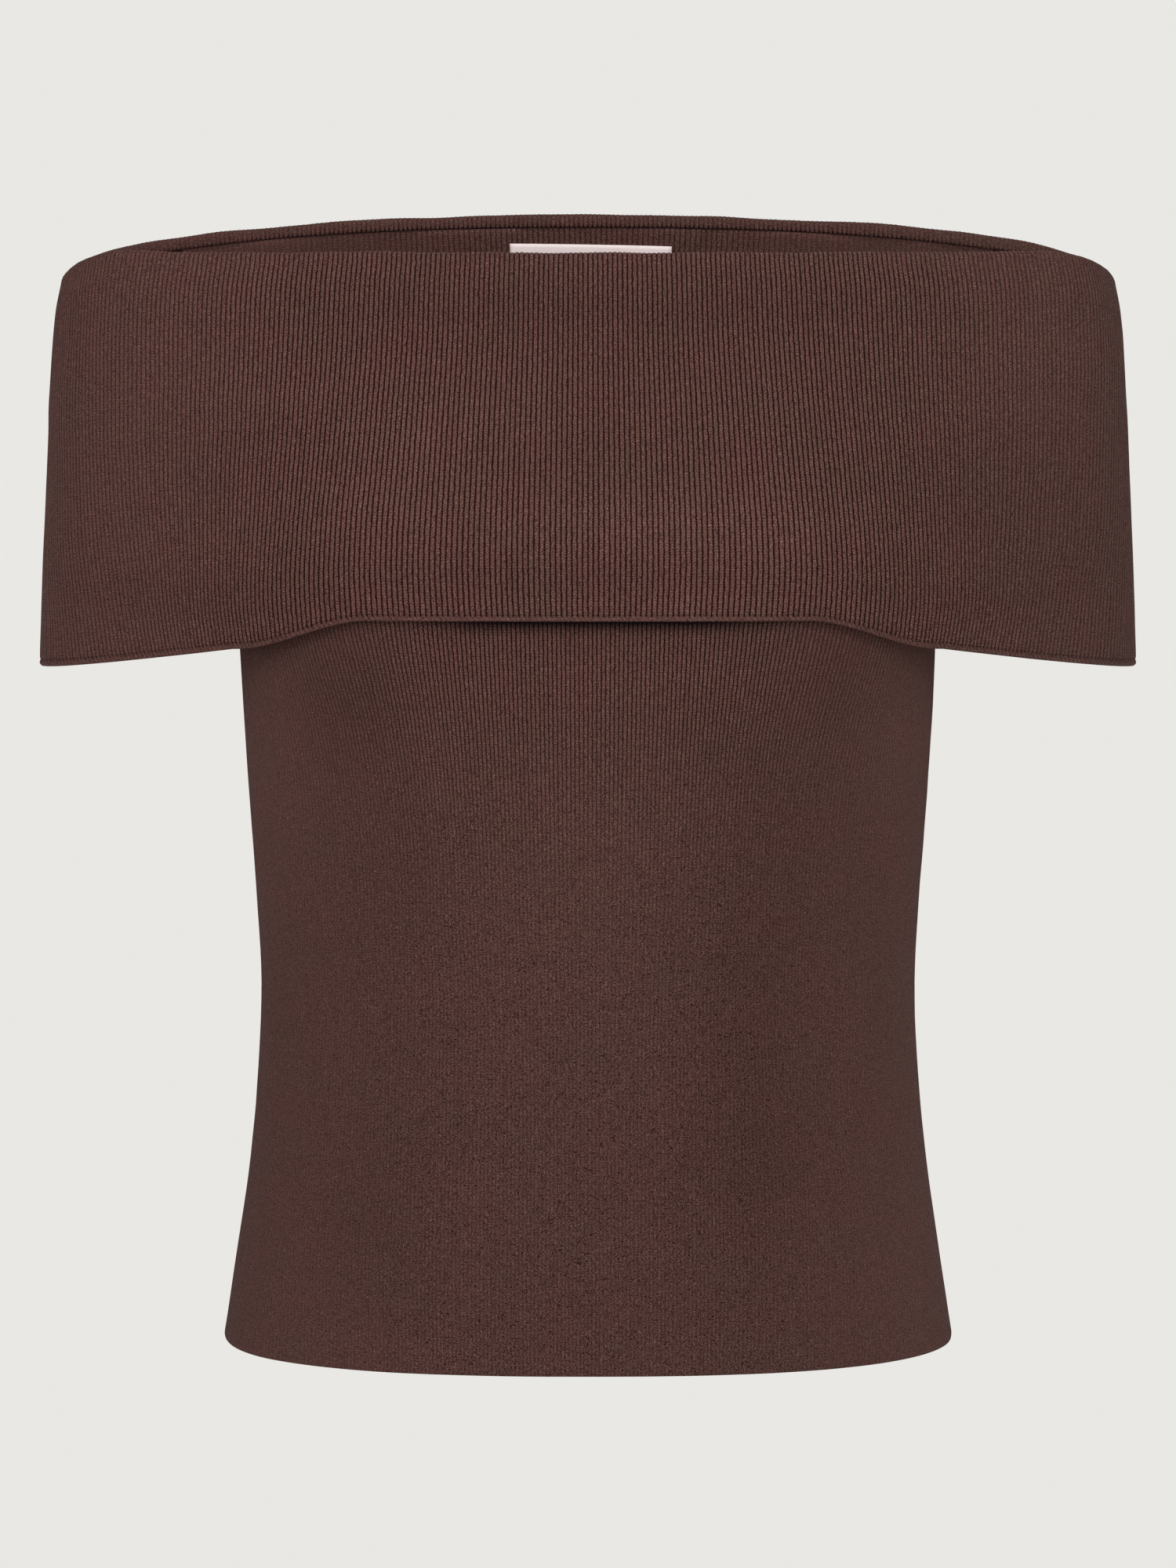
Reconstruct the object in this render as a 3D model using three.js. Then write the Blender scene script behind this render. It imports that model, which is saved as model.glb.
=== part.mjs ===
// Off-the-shoulder knitted top with a deep fold-over collar, hollow and filled out as if worn.
// Millimetres, +Z up. The front faces -Y, and +X is on the right as seen from the front.
// The origin is the middle of the neck opening, level with the top of the fold at the centre front.
// The front and back body make a tube with an armhole open at each side. The front and back collar start
// at a seam inside the neckline, roll outwards over it and hang down outside the body and round the arms.
// A bare woven label lies on the inside of the back body.
import * as THREE from "three";

// Cloth and seams
const BODY_WALL = 1.4;
const COLLAR_WALL = 1.6;
const SEAM_GAP = 0.3;

// Roll of the fold, and how far below its top the collar's inner edge is sewn to the body
const ROLL_RADIUS = 3.0;
const SEAM_BELOW_FOLD = 5.2;

// Height of the fold round the neckline: level at the front, raised at the back, lower over the arms
const FOLD_BACK_HEIGHT = 14.9;
const FOLD_SIDE_HEIGHT = -11.5;
const FOLD_DROP_STARTS = 0.82;
const FOLD_ROUNDNESS = 2.17;

// Lower edge of the collar: level across the bust, lower where it goes round the arms
const COLLAR_EDGE_FRONT = -146.2;
const EDGE_LEAVES_BUST = 88;
const EDGE_MEETS_ARM = 143;
const EDGE_ARM_DROP = 12.2;
const EDGE_SIDE_SLOPE = 0.137;

// Sections of the hanging collar's outer side, by its share of the way down from the fold.
// Spread moves the ribs from the sides towards the centre, so that they are wider there.
const COLLAR_SECTIONS = [
  { drop: 0.0, halfWidth: 214.5, frontDepth: 85.0, backDepth: 82.0, squareness: 2.9, spread: 0.0 },
  { drop: 0.08, halfWidth: 216.5, frontDepth: 89.5, backDepth: 84.5, squareness: 2.85, spread: 0.005 },
  { drop: 0.25, halfWidth: 218.4, frontDepth: 98.0, backDepth: 89.0, squareness: 2.7, spread: 0.02 },
  { drop: 0.5, halfWidth: 220.2, frontDepth: 109.5, backDepth: 95.0, squareness: 2.5, spread: 0.05 },
  { drop: 0.75, halfWidth: 222.0, frontDepth: 117.0, backDepth: 99.0, squareness: 2.3, spread: 0.08 },
  { drop: 1.0, halfWidth: 223.5, frontDepth: 116.5, backDepth: 100.0, squareness: 2.15, spread: 0.1 },
];

// Sections of the body's outer side, by the length below the top of the fold
const BODY_SECTIONS = [
  { below: 5.5, halfWidth: 213.0, frontDepth: 83.5, backDepth: 80.5, squareness: 2.9 },
  { below: 52, halfWidth: 190.0, frontDepth: 97.0, backDepth: 85.5, squareness: 2.9 },
  { below: 104, halfWidth: 150.0, frontDepth: 110.0, backDepth: 91.0, squareness: 2.8 },
  { below: 140, halfWidth: 144.0, frontDepth: 111.0, backDepth: 93.0, squareness: 2.8 },
  { below: 172, halfWidth: 142.6, frontDepth: 107.0, backDepth: 92.0, squareness: 2.7 },
  { below: 220, halfWidth: 139.9, frontDepth: 99.5, backDepth: 88.0, squareness: 2.55 },
  { below: 264, halfWidth: 136.6, frontDepth: 94.0, backDepth: 83.0, squareness: 2.45 },
  { below: 304, halfWidth: 134.6, frontDepth: 92.0, backDepth: 80.5, squareness: 2.4 },
  { below: 345, halfWidth: 136.4, frontDepth: 94.0, backDepth: 84.0, squareness: 2.4 },
  { below: 378, halfWidth: 139.7, frontDepth: 97.5, backDepth: 90.0, squareness: 2.45 },
  { below: 410, halfWidth: 144.4, frontDepth: 101.5, backDepth: 97.0, squareness: 2.5 },
  { below: 448.5, halfWidth: 150.4, frontDepth: 105.0, backDepth: 103.0, squareness: 2.46 },
];
const BODY_TOP = SEAM_BELOW_FOLD + SEAM_GAP;
const HEM_BELOW = 448.5;

// The hem hangs a little lower at the centre front and back than at the sides.
const HEM_DIP = 4.5;
const HEM_DIP_LENGTH = 70;

// Armhole: the body panels meet below the underarm, and cover this share of the ring above its curve.
const UNDERARM_BELOW = 104;
const ARMHOLE_CURVE = 50;
const PANEL_SHARE_AT_NECK = 0.68;

// Fullness over the bust, a soft rise each side of the centre front, half as high in the collar
const BUST_RISE = 4;
const BUST_FROM_CENTRE = 82;
const BUST_BELOW = 128;
const BUST_HALF_WIDTH = 34;
const BUST_HALF_HEIGHT = 42;
const COLLAR_BUST_SHARE = 0.5;

// Ribs, raised on the outer side: their number in a quarter of the ring, and their height. The collar has
// its true number. The body has fewer and broader ones than the real fine rib, from the underarm down.
const COLLAR_RIBS = 131;
const BODY_RIBS = 48;
const RIB_HEIGHT = 0.45;

// Label, hanging straight down inside the back body, a little out of level
const LABEL_WIDTH = 69;
const LABEL_HEIGHT = 22;
const LABEL_THICKNESS = 1.0;
const LABEL_BELOW_SEAM = 7;
const LABEL_CENTRE = 1.2;
const LABEL_SLOPE = 0.019;

// Rows of points down each wall, and plain columns across it
const COLLAR_PLAIN_ROWS = [0, 1, 1.25, 1.5, 1.75];
const COLLAR_RIBBED_ROWS = [2, 2.3, 2.65, 3];
const BODY_PLAIN_ROWS = [BODY_TOP, 30, 54, 66, 79, 91, 99];
const BODY_RIBBED_ROWS = [104, 170, 238, 304, 372, HEM_BELOW];
const PLAIN_COLUMNS = 32;
const LABEL_COLUMNS = 6;
const RING_SAMPLES = 400;
const SLOPE_STEP = 1e-3;

const { clamp, lerp, smoothstep } = THREE.MathUtils;

// Reads a section at any place down a table, on a smooth curve through its rows.
function sectionAt(rows, key, at) {
  let i = 0;
  while (i < rows.length - 2 && at > rows[i + 1][key]) i += 1;
  const width = rows[i + 1][key] - rows[i][key];
  const t = clamp((at - rows[i][key]) / width, 0, 1);
  const slope = (k, column) => {
    const before = rows[Math.max(k - 1, 0)];
    const after = rows[Math.min(k + 1, rows.length - 1)];
    return (after[column] - before[column]) / (after[key] - before[key]);
  };
  const section = {};
  for (const column of Object.keys(rows[i])) {
    const start = (2 * t ** 3 - 3 * t ** 2 + 1) * rows[i][column];
    const end = (3 * t ** 2 - 2 * t ** 3) * rows[i + 1][column];
    const leaving = (t ** 3 - 2 * t ** 2 + t) * width * slope(i, column);
    const arriving = (t ** 3 - t ** 2) * width * slope(i + 1, column);
    section[column] = start + end + leaving + arriving;
  }
  return section;
}

// A quarter of a rounded ring seen from above, from the centre line to the side, with its length so far.
const knownQuarters = new Map();
function quarterRing(halfWidth, depth, squareness) {
  const name = [halfWidth, depth, squareness].map((size) => size.toFixed(5)).join();
  if (knownQuarters.has(name)) return knownQuarters.get(name);
  const points = [{ across: 0, deep: depth, walked: 0 }];
  for (let i = 1; i <= RING_SAMPLES; i += 1) {
    const angle = (Math.PI / 2) * (i / RING_SAMPLES);
    const across = halfWidth * Math.sin(angle) ** (2 / squareness);
    const deep = i < RING_SAMPLES ? depth * Math.cos(angle) ** (2 / squareness) : 0;
    const last = points[i - 1];
    points.push({ across, deep, walked: last.walked + Math.hypot(across - last.across, deep - last.deep) });
  }
  knownQuarters.set(name, points);
  return points;
}

// The point of a ring at a share of its quarter's length, moved outwards by an offset.
// A share from -1 to 1 goes from one side over the centre to the other. Side is -1 for the front half
// and 1 for the back.
function ringPoint(side, section, share, offset) {
  const { halfWidth, squareness } = section;
  const depth = side < 0 ? section.frontDepth : section.backDepth;
  const points = quarterRing(halfWidth, depth, squareness);
  const target = Math.abs(share) * points[RING_SAMPLES].walked;
  let low = 0;
  let high = RING_SAMPLES;
  while (high - low > 1) {
    const middle = Math.floor((low + high) / 2);
    if (points[middle].walked <= target) low = middle;
    else high = middle;
  }
  const t = (target - points[low].walked) / (points[high].walked - points[low].walked);
  const across = lerp(points[low].across, points[high].across, t);
  const deep = lerp(points[low].deep, points[high].deep, t);
  const outAcross = (across / halfWidth) ** (squareness - 1) / halfWidth;
  const outDeep = (Math.max(deep, 0) / depth) ** (squareness - 1) / depth;
  const length = Math.hypot(outAcross, outDeep);
  return {
    x: Math.sign(share) * (across + (offset * outAcross) / length),
    y: side * (deep + (offset * outDeep) / length),
    acrossShare: across / halfWidth,
    deepShare: deep / depth,
  };
}

// Height of the top of the fold, from how far across the ring it is: 0 at the centre, 1 at the side
function foldHeight(side, acrossShare) {
  const dropStarts = side < 0 ? FOLD_DROP_STARTS : 0;
  const centreHeight = side < 0 ? 0 : FOLD_BACK_HEIGHT;
  const overArm = clamp((acrossShare - dropStarts) / (1 - dropStarts), 0, 1);
  const round = (1 - overArm ** FOLD_ROUNDNESS) ** (1 / FOLD_ROUNDNESS);
  return lerp(FOLD_SIDE_HEIGHT, centreHeight, round);
}

function collarEdgeHeight(x) {
  const bustToArm = smoothstep(Math.abs(x), EDGE_LEAVES_BUST, EDGE_MEETS_ARM);
  const beyond = Math.max(Math.abs(x) - EDGE_MEETS_ARM, 0);
  return COLLAR_EDGE_FRONT - EDGE_ARM_DROP * bustToArm - EDGE_SIDE_SLOPE * beyond;
}

function bustRise(side, x, z) {
  if (side > 0) return 0;
  const across = (Math.abs(x) - BUST_FROM_CENTRE) / BUST_HALF_WIDTH;
  const up = (z + BUST_BELOW) / BUST_HALF_HEIGHT;
  return BUST_RISE * Math.exp(-across * across - up * up);
}

// The collar's outer side: down is 0 to 1 up from the seam, 1 to 2 over the roll, 2 to 3 to the lower edge.
function collarPoint(side, share, down) {
  const drop = clamp(down - 2, 0, 1);
  const section = sectionAt(COLLAR_SECTIONS, "drop", drop);
  const spreadShare = share + (section.spread * Math.sin(Math.PI * share)) / Math.PI;
  const turn = Math.PI * clamp(down - 1, 0, 1);
  const at = ringPoint(side, section, spreadShare, -ROLL_RADIUS * Math.cos(turn));
  const toSeam = (SEAM_BELOW_FOLD - ROLL_RADIUS) * (1 - clamp(down, 0, 1));
  const rollHeight = foldHeight(side, at.acrossShare) - ROLL_RADIUS * (1 - Math.sin(turn)) - toSeam;
  const z = lerp(rollHeight, collarEdgeHeight(at.x), drop);
  const rise = COLLAR_BUST_SHARE * bustRise(side, at.x, z) * smoothstep(drop, 0, 0.5);
  return new THREE.Vector3(at.x, at.y + side * rise, z);
}

// Share of the quarter ring that a body panel covers, less above the underarm
function panelShare(below) {
  const up = clamp((UNDERARM_BELOW - below) / ARMHOLE_CURVE, 0, 1);
  return lerp(1, PANEL_SHARE_AT_NECK, Math.sqrt(1 - (1 - up) ** 2));
}

// The body's outer side, by the length below the fold
function bodyPoint(side, share, below) {
  const section = sectionAt(BODY_SECTIONS, "below", below);
  const at = ringPoint(side, section, share * panelShare(below), 0);
  const followsFold = 1 - smoothstep(below, 0, UNDERARM_BELOW);
  const followsHem = smoothstep(below, HEM_BELOW - HEM_DIP_LENGTH, HEM_BELOW);
  const z = followsFold * foldHeight(side, at.acrossShare) - below - followsHem * HEM_DIP * at.deepShare;
  return new THREE.Vector3(at.x, at.y + side * bustRise(side, at.x, z), z);
}

// The label's place on the back body, between that panel's first two rows. Across is -1 to 1, down 0 to 1.
function labelPoint(across, down) {
  const [upper, lower] = BODY_PLAIN_ROWS;
  const { halfWidth, backDepth, squareness } = sectionAt(BODY_SECTIONS, "below", upper);
  const panelLength = quarterRing(halfWidth, backDepth, squareness)[RING_SAMPLES].walked * panelShare(upper);
  const alongPanel = LABEL_CENTRE + (across * LABEL_WIDTH) / 2;
  const downPanel = LABEL_BELOW_SEAM + down * LABEL_HEIGHT + alongPanel * LABEL_SLOPE;
  const share = alongPanel / panelLength;
  return bodyPoint(1, share, upper).lerp(bodyPoint(1, share, lower), downPanel / (lower - upper));
}

// A row of points across a wall, each moved off its outer side by lift. Facing is 1 where the wall's outer
// side is seen with its rows going right and down from behind, and -1 from the front.
function wallRow(surface, facing, down, columns, lift) {
  const points = [];
  for (let i = 0; i <= columns; i += 1) {
    const across = (2 * i) / columns - 1;
    const within = clamp(across, -1 + SLOPE_STEP, 1 - SLOPE_STEP);
    const right = surface(within + SLOPE_STEP, down).sub(surface(within - SLOPE_STEP, down));
    const below = surface(within, down + SLOPE_STEP).sub(surface(within, down - SLOPE_STEP));
    const outward = right.cross(below).normalize().multiplyScalar(facing);
    points.push({ order: across, point: surface(across, down).addScaledVector(outward, lift(i)) });
  }
  return { down, points };
}

// Fills the band between two rows, which may have different numbers of points.
function addBand(triangles, first, second) {
  let i = 0;
  let j = 0;
  while (i < first.length - 1 || j < second.length - 1) {
    const nextFirst = i < first.length - 1 ? first[i + 1].order : Infinity;
    const nextSecond = j < second.length - 1 ? second[j + 1].order : Infinity;
    if (nextFirst <= nextSecond) {
      triangles.push([first[i].point, first[i + 1].point, second[j].point]);
      i += 1;
    } else {
      triangles.push([first[i].point, second[j + 1].point, second[j].point]);
      j += 1;
    }
  }
}

// A closed wall between the rows of its outer side and those of its inner side.
function closedWall(outer, inner, facing) {
  const triangles = [];
  for (let k = 1; k < outer.length; k += 1) addBand(triangles, outer[k - 1].points, outer[k].points);
  for (let k = 1; k < inner.length; k += 1) addBand(triangles, inner[k].points, inner[k - 1].points);
  addBand(triangles, inner[0].points, outer[0].points);
  addBand(triangles, outer.at(-1).points, inner.at(-1).points);
  const sideEdge = (rows, end) => rows.map((row) => ({ order: row.down, point: row.points.at(end).point }));
  addBand(triangles, sideEdge(outer, 0), sideEdge(inner, 0));
  addBand(triangles, sideEdge(inner, -1), sideEdge(outer, -1));
  const corners = triangles.flatMap(([a, b, c]) => (facing > 0 ? [a, b, c] : [a, c, b]));
  return new THREE.BufferGeometry().setFromPoints(corners);
}

// The rows of one wall: plain ones, then rows whose outer points are raised at every other column.
function ribbedWall(surface, facing, wall, plainRows, ribbedRows, ribs) {
  const plain = (down, lift) => wallRow(surface, facing, down, PLAIN_COLUMNS, () => lift);
  const ribbed = (down) => wallRow(surface, facing, down, 4 * ribs, (i) => (i % 2) * RIB_HEIGHT);
  const outer = [...plainRows.map((down) => plain(down, 0)), ...ribbedRows.map(ribbed)];
  const inner = [...plainRows, ...ribbedRows].map((down) => plain(down, -wall));
  return closedWall(outer, inner, facing);
}

// Leaves half the seam's gap at each side edge of a panel.
function besideSeam(surface, side) {
  return (across, down) => {
    const point = surface(side, across, down);
    const atEdge = smoothstep(Math.abs(across), 0.9, 1);
    point.y += side * atEdge * (SEAM_GAP / 2);
    return point;
  };
}

function collarGeometry(side) {
  const surface = besideSeam(collarPoint, side);
  return ribbedWall(surface, side, COLLAR_WALL, COLLAR_PLAIN_ROWS, COLLAR_RIBBED_ROWS, COLLAR_RIBS);
}

function bodyGeometry(side) {
  const surface = besideSeam(bodyPoint, side);
  return ribbedWall(surface, side, BODY_WALL, BODY_PLAIN_ROWS, BODY_RIBBED_ROWS, BODY_RIBS);
}

function labelGeometry() {
  const rows = (lift) => [0, 1].map((down) => wallRow(labelPoint, 1, down, LABEL_COLUMNS, () => lift));
  const sewnTo = -BODY_WALL - SEAM_GAP;
  return closedWall(rows(sewnTo), rows(sewnTo - LABEL_THICKNESS), 1);
}

// Brown knit for the cloth and pink satin for the label
const KNIT = new THREE.MeshStandardMaterial({ name: "brown_rib_knit", color: 0x4f3733, roughness: 0.92 });
const SATIN = new THREE.MeshStandardMaterial({ name: "pink_satin", color: 0xe5d1d2, roughness: 0.6 });

const garment = new THREE.Group();
function add(name, geometry, material) {
  const piece = new THREE.Mesh(geometry, material);
  piece.name = name;
  garment.add(piece);
}

add("front_body", bodyGeometry(-1), KNIT);
add("back_body", bodyGeometry(1), KNIT);
add("front_collar", collarGeometry(-1), KNIT);
add("back_collar", collarGeometry(1), KNIT);
add("label", labelGeometry(), SATIN);

export default garment;
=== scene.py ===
# Looks of an off-the-shoulder rib-knit top: thin knitted shells over the solids of its front and back
# body and of its fold-over collar, a woven label inside the back, soft studio light and the camera.
# +Z is up and the front faces -Y. The sizes below are in millimetres, and the studio's are in metres.
import math

import bpy
import numpy as np
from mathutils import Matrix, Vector


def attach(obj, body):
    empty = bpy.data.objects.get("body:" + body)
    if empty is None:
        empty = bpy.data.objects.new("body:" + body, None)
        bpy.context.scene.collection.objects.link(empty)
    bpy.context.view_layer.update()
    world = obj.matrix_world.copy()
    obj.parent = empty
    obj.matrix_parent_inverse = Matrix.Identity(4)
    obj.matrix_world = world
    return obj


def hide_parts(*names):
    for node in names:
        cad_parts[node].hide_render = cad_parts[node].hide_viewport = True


MM = 0.001
FRONT, BACK = -1, 1

# Neckline and fold. The fold rises by its shoulder near the side, and drops where it turns the corner
ROLL_RADIUS = 3.0
SEAM_BELOW_FOLD = 5.2
FOLD_BACK_HEIGHT = 14.9
FOLD_SIDE_HEIGHT = -11.5
FOLD_DROP_STARTS = 0.82
FOLD_ROUNDNESS = 2.17
FOLD_SHOULDER = 1.0
FOLD_SHOULDER_AT = 0.9
FOLD_SHOULDER_WIDTH = 0.075
FOLD_TURN_DROP = 0.7
FOLD_TURNS_AT = 0.96

# Lower edge of the collar
COLLAR_EDGE_FRONT = -146.8
EDGE_LEAVES_BUST = 88
EDGE_MEETS_ARM = 143
EDGE_ARM_DROP = 12.2
EDGE_SIDE_SLOPE = 0.137

# Sections of the hanging collar by the share of its drop, and of the body by the length below the fold
COLLAR_SECTIONS = {
    "drop": [0.0, 0.08, 0.25, 0.5, 0.75, 1.0],
    "half_width": [213.9, 216.2, 218.2, 220.2, 222.0, 223.5],
    "front_depth": [85.0, 89.5, 98.0, 109.5, 117.0, 116.5],
    "back_depth": [82.0, 84.5, 89.0, 95.0, 99.0, 100.0],
    "squareness": [2.9, 2.85, 2.7, 2.5, 2.3, 2.15],
}
BODY_SECTIONS = {
    "below": [5.5, 52, 104, 140, 172, 220, 264, 304, 345, 378, 410, 448.5],
    "half_width": [213.0, 190.0, 150.2, 144.3, 143.0, 140.3, 137.1, 135.2, 137.1, 140.4, 145.1, 151.1],
    "front_depth": [83.5, 97.0, 110.0, 111.0, 107.0, 99.5, 94.0, 92.0, 94.0, 97.5, 101.5, 105.0],
    "back_depth": [80.5, 85.5, 91.0, 93.0, 92.0, 88.0, 83.0, 80.5, 84.0, 90.0, 97.0, 103.0],
    "squareness": [2.9, 2.9, 2.8, 2.8, 2.7, 2.55, 2.45, 2.4, 2.4, 2.45, 2.5, 2.46],
}
# How the ribs run: waves of their share across the panel, one, two and three to the side edge
COLLAR_FLOW = {
    "drop": [0.0, 0.2, 0.4, 0.6, 0.75, 0.88, 1.0],
    "first": [0.0, -0.03, -0.05, -0.06, -0.06, -0.06, -0.08],
    "second": [0.0, 0.02, 0.06, 0.11, 0.15, 0.18, 0.2],
    "third": [0.0, -0.01, -0.02, -0.05, -0.08, -0.11, -0.13],
}
BODY_FLOW = {
    "below": [5.5, 104, 150, 190, 230, 280, 350, 448.5],
    "first": [0.0, 0.13, 0.03, -0.08, -0.11, -0.09, -0.11, -0.24],
    "second": [0.0, -0.17, -0.07, 0.05, 0.06, 0.055, 0.07, 0.12],
    "third": [0.0, 0.01, 0.01, 0.01, 0.04, 0.02, -0.035, -0.05],
}
BODY_TOP = 5.5
HEM_BELOW = 448.5
HEM_DIP = 4.5
HEM_DIP_LENGTH = 70
HEM_DIP_FADES_BELOW = 0.25
UNDERARM_BELOW = 104
ARMHOLE_CURVE = 50
PANEL_SHARE_AT_NECK = 0.68

# Fullness over the bust
BUST_RISE = 4
BUST_FROM_CENTRE = 82
BUST_BELOW = 128
BUST_HALF_WIDTH = 34
BUST_HALF_HEIGHT = 42
COLLAR_BUST_SHARE = 0.5

# Knit: ribs in a quarter of the ring, form and relief of a rib, height of a stitch, thickness of the cloth,
# how much the ribs differ from each other and change on their way down, and how high the calmest are
COLLAR_RIBS = 131
BODY_RIBS = 114
RIB_PHASES = np.array([0.0, 0.2, 0.5, 0.8])
RIB_HEIGHTS = np.array([0.0, 0.8, 1.0, 0.8])
COLLAR_RIB_HEIGHT = 0.5
BODY_RIB_HEIGHT = 0.42
STITCH = 1.1
CLOTH = 1.1
INNER_RIB_HEIGHT = 0.3
RIBS_DIFFER = 0.13
RIB_CHANGES = 0.1
RIB_CHANGE_LENGTH = 18.0
RELIEF_OF_CALM_RIB = 0.4

# Calm of the collar's ribs, as the share that is lost, with where it starts and ends: towards the arms, over
# the roll as counted in collar_row, and on the cord. Then how much of the yarn's grain shows, and the relief
# left at the cord and at the seam
COLLAR_CALM_ARMS, COLLAR_TO_ARMS = 0.42, (85, 205)
COLLAR_CALM_ROLL = {FRONT: 0.12, BACK: 0.5}
COLLAR_ROLL_STARTS, COLLAR_ROLL_ENDS = (0.2, 1.0), (2.0, 2.05)
COLLAR_CALM_CORD, COLLAR_CORD_ENDS = 0.9, (1.5, 2.1)
COLLAR_GRAIN = 0.8
COLLAR_RELIEF_CORD, COLLAR_BESIDE_CORD = 0.25, (1.0, 3.2)
COLLAR_RELIEF_SEAM, COLLAR_BESIDE_SEAM = 0.4, (0, 1.5)

# The same of the body's ribs: below the bust and towards the sides, where the armhole cuts them off, and the
# relief left at the hem. The yarn's grain shows more below the bust and less towards the sides
BODY_CALM_LOW, BODY_LOW = 0.62, (120, 290)
BODY_CALM_SIDES, BODY_TO_SIDES = 0.45, (45, 125)
BODY_GRAIN, BODY_GRAIN_MORE = 0.75, 0.35
BODY_GRAIN_LESS, BODY_GRAIN_TO_SIDES = 0.35, (50, 125)
ARMHOLE_CUT_STARTS, ARMHOLE_CUT_ENDS = (40, 54), (100, 110)
BODY_RELIEF_HEM, BODY_BESIDE_HEM = 0.35, (0, 2.0)

# Soft swells of the cloth: height and length of two sizes of wave, the share of them left at a side seam,
# and from where to where they grow beside it
SWELLS = ((0.34, 70.0), (0.12, 26.0))
SWELLS_AT_SEAM = 0.15
SWELLS_GROW = (2, 32)

# Side seams: the gap, how far its faces lean, how far the edges curl in and how much painted shade darkens
# them, each with its width in ribs, and the darkest and lightest of the painted light and shade on any cloth
SEAM_GAP = 0.04
SEAM_SLANT = 0.35
SEAM_CURL = 0.2
SEAM_CURL_RIBS = 0.8
SEAM_PAINTED_SHADE = 0.35
SEAM_PAINTED_SHADE_RIBS = 0.45
SHADE_LIMITS = (0.06, 1.5)

# Rows of the panels' grids. The collar's are counted over the roll, down to the edge and up from the edge
COLLAR_DROP = 150
ROLL_ROWS = 8
HANGING_ROWS = 56
COLLAR_ROWS_AT_EDGE = [3.2, 2.5, 1.9, 1.4, 1.0, 0.6, 0.25, 0.0]
BODY_ROWS_ABOVE = [5.25, 6.2, 8, 11, 15, 20, 26, 33, 41, 48, 54, 60, 66, 72, 78, 84, 90, 95, 99, 102, 104]
BODY_ROWS_HIDDEN = [112, 120, 128, 136, 144]
BODY_ROWS_AT_COLLAR = [145.5, 146.8, 147.8, 148.8, 150, 151.3, 152.8, 154.5, 157, 160.5]
BODY_ROWS_START = 165
BODY_ROWS_LOW = 40
BODY_ROWS_AT_HEM = [2.4, 1.2, 0.4, 0.0]

# Edge of the collar: a beaded cord with a chain of loops on it, and a groove above the cord
BEAD_HEIGHT = 0.42
BEAD_FROM_EDGE = 1.0
BEAD_WIDTH = 0.7
CHAIN_LENGTH = 3.2
GROOVE_FROM_EDGE = 2.4
GROOVE_WIDTH = 0.5
GROOVE_DEPTH = 0.26

# Shade of the body by the collar's edge: how dark, from where to where below the edge and hidden above it,
# and from where to where from its centre it fades, and by how much
CONTACT_DARK = 0.95
CONTACT_REACH = (-0.6, 7.5)
CONTACT_HIDDEN = (-4, -1)
CONTACT_CENTRE = 3
CONTACT_ENDS = (38, 84)
CONTACT_FADES_BY = 0.8

# Label inside the back
LABEL_WIDTH = 69
LABEL_HEIGHT = 22
LABEL_BELOW_SEAM = 5.9
LABEL_CENTRE = 1.2
LABEL_SLOPE = 0.015
LABEL_FROM, LABEL_TO = 5.5, 30
LABEL_OFF_PANEL = 1.7
LABEL_BEHIND = 0.05
LABEL_THICKNESS = 0.7
LABEL_WAVE, LABEL_WAVE_LENGTH = 0.12, 26.0
LABEL_SEED = 71
LABEL_GRID = (47, 17)
LABEL_PANEL_SAMPLES = 801

RING_SAMPLES = 1200
NOISE_WAVES = 16

# Map for baking: where the outer and inner skins lie in it, from their first row to their last, and the
# margin of the top, bottom, left and right bands with whether the band stands upright. The bottom band has
# no margin and fills the space between the skins
BAKE_ACROSS = (0.02, 0.98)
BAKE_OUTER = (0.975, 0.37)
BAKE_INNER = (0.025, 0.35)
BAKE_BANDS = ((0.985, False), (None, False), (0.003, True), (0.985, True))
BAKE_BAND_WIDTH = 0.012

# Studio, in metres. Broad keys in front and behind, a top light and weak fills from the sides:
# name, place, size, power and colour
PAPER = (233, 232, 228)
FLOOR_HEIGHT = -6.0
FLOOR_HALF = 14
SURROUND_COLOUR = (1.0, 0.985, 0.965, 1.0)
SURROUND_STRENGTH = 0.33
LIGHTS_AIM = (0, 0, -0.2)
LIGHTS = [
    ("key", (-0.3, -3.1, 0.42), 1.1, 55, (1.0, 0.985, 0.96)),
    ("left_side", (-2.8, 0.6, 0.2), 1.3, 9, (1.0, 0.99, 0.97)),
    ("right_side", (2.8, 0.6, 0.2), 1.3, 14, (1.0, 0.99, 0.98)),
    ("top", (0.0, -0.7, 2.7), 1.2, 31, (1.0, 0.99, 0.97)),
    ("back_key", (0.5, 3.1, 0.42), 1.2, 53, (1.0, 0.985, 0.96)),
]
CAMERA_AT = (0, -3.49147, 0.02395)
CAMERA_AIM = (0, 0, -0.2202)
CAMERA_LENS = 193.846
CAMERA_SENSOR = 36

# Colours of the yarn's ridges and of its grooves darkened by painted shade, in two close browns, and of the
# painted glints on its fibres, as displayed
BROWN_RIDGE = ((105, 70, 66), (101, 71, 65))
BROWN_SHADED_GROOVE = ((26, 3, 2), (23, 4, 2))
BROWN_GLINT = (138, 117, 110)
KNIT_SHEEN = 0.026

# Scales of the yarn's noises, in waves a metre, and pitch of the label's threads
WANDER_SCALE = 420.0
STITCH_SCALE = 700.0
FIBRE_SCALE = 2500.0
HEATHER_SCALE = 1900.0
PATCH_SCALE = 38.0
SATIN_SCALE = 140.0
WARP_PITCH = 0.35
WEFT_PITCH = 0.28
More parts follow.
